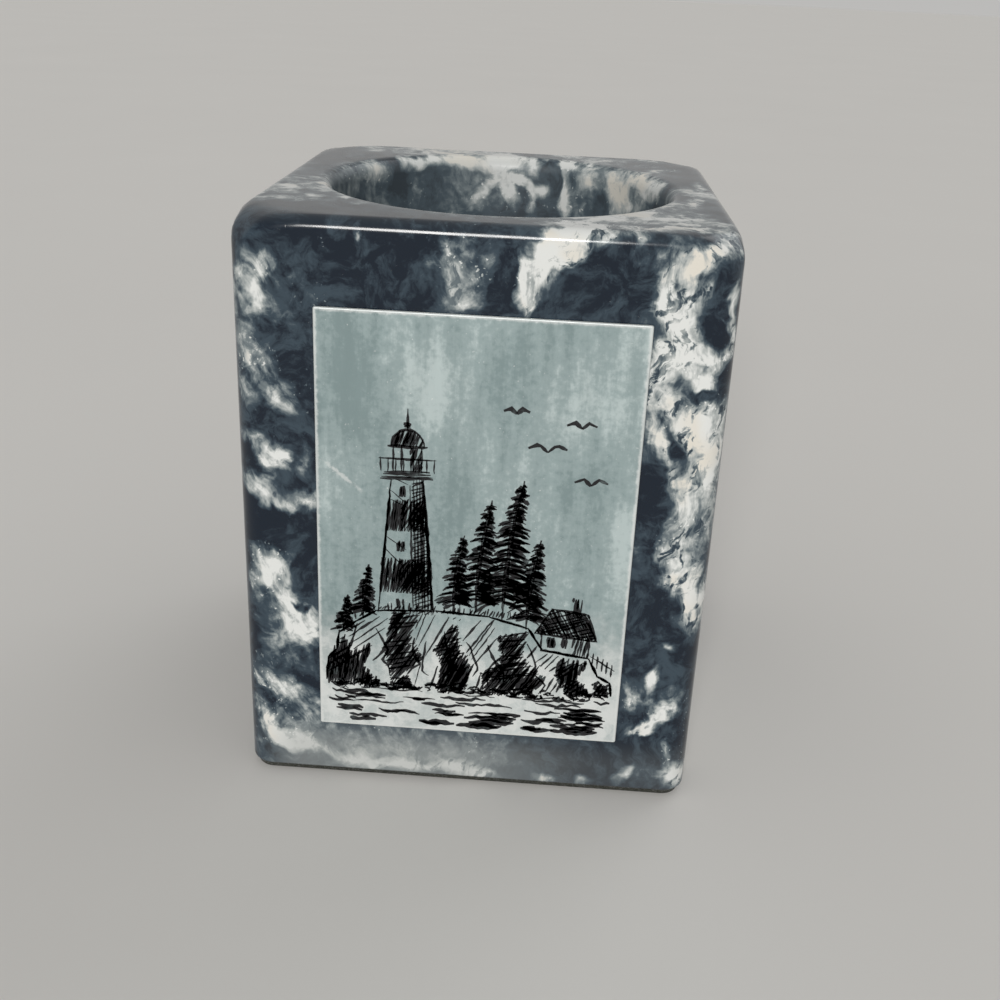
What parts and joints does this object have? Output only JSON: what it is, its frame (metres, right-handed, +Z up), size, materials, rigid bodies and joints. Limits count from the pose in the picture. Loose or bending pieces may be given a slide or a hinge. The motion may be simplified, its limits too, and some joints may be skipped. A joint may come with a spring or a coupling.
{
  "type": "marble pen cup",
  "caption": "Square block of dark blue-grey marble with rounded corners and a round blind well for pens, a thin picture plate on its front and a felt pad under its base.",
  "frame": {"origin": "middle of the felt's underside, where the cup stands on the desk", "axes": "+Z up along the well's axis, -Y towards the viewer through the picture plate, +X to the right of the plate"},
  "size_m": [0.076, 0.0768, 0.098],
  "materials": {
    "marble": "polished, white and cream clouds in dark blue-grey",
    "plate": "satin grey-blue metal with a black line print",
    "film": "matt adhesive film",
    "felt": "dense dark olive felt"
  },
  "bodies": {
    "root": {"marble_body": "marble", "picture_plate": "plate", "plate_film": "film", "felt_pad": "felt", "felt_film": "film"}
  },
  "joints": []
}
